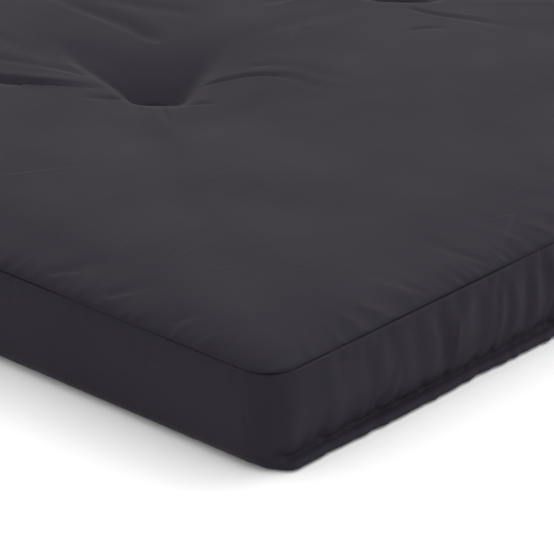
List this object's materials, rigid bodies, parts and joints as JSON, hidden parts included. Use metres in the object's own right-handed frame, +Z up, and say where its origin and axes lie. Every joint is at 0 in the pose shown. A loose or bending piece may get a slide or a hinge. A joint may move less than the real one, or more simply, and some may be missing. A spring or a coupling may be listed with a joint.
{
  "type": "tufted futon mattress",
  "caption": "Thin single futon mattress: a sewn fabric cover over felt and foam layers, drawn together by deep twine tufts, that folds in half across its length.",
  "frame": {"origin": "on the floor under the middle of the mattress, on the line where it folds", "axes": "+X along the mattress to the foot end with the closing seam, +Y across it, +Z up through its thickness"},
  "size_m": [2, 0.9, 0.086],
  "materials": {
    "cover_fabric": "closely woven cotton and polyester, smooth with a faint satin sheen, anthracite",
    "cotton_felt": "layered cotton felt wadding, unbleached, matt and fibrous",
    "foam": "open-cell polyurethane foam, cut faces",
    "tufting_twine": "twisted waxed polyester twine, anthracite",
    "sewing_thread": "spun polyester sewing thread, anthracite"
  },
  "bodies": {
    "foot_half": {"top_panel_foot": "cover_fabric", "boxing_foot": "cover_fabric", "bottom_panel_foot": "cover_fabric", "top_felt_foot": "cotton_felt", "foam_core_foot": "foam", "bottom_felt_foot": "cotton_felt", "top_seam_thread_foot": "sewing_thread", "bottom_seam_thread_foot": "sewing_thread", "closing_stitches": "sewing_thread", "tuft_tie_1": "tufting_twine", "tuft_knot_1": "tufting_twine", "tuft_tie_2": "tufting_twine", "tuft_knot_2": "tufting_twine", "tuft_tie_3": "tufting_twine", "tuft_knot_3": "tufting_twine", "tuft_tie_4": "tufting_twine", "tuft_knot_4": "tufting_twine"},
    "head_half": {"top_panel_head": "cover_fabric", "boxing_head": "cover_fabric", "bottom_panel_head": "cover_fabric", "top_felt_head": "cotton_felt", "foam_core_head": "foam", "bottom_felt_head": "cotton_felt", "top_seam_thread_head": "sewing_thread", "bottom_seam_thread_head": "sewing_thread", "tuft_tie_5": "tufting_twine", "tuft_knot_5": "tufting_twine", "tuft_tie_6": "tufting_twine", "tuft_knot_6": "tufting_twine", "tuft_tie_7": "tufting_twine", "tuft_knot_7": "tufting_twine", "tuft_tie_8": "tufting_twine", "tuft_knot_8": "tufting_twine"}
  },
  "joints": [
    {"name": "fold_in_half", "type": "hinge", "parent": "foot_half", "child": "head_half", "pos_m": [0, 0, 0.087], "axis": [0, 1, 0], "range_deg": [0, 175]}
  ]
}
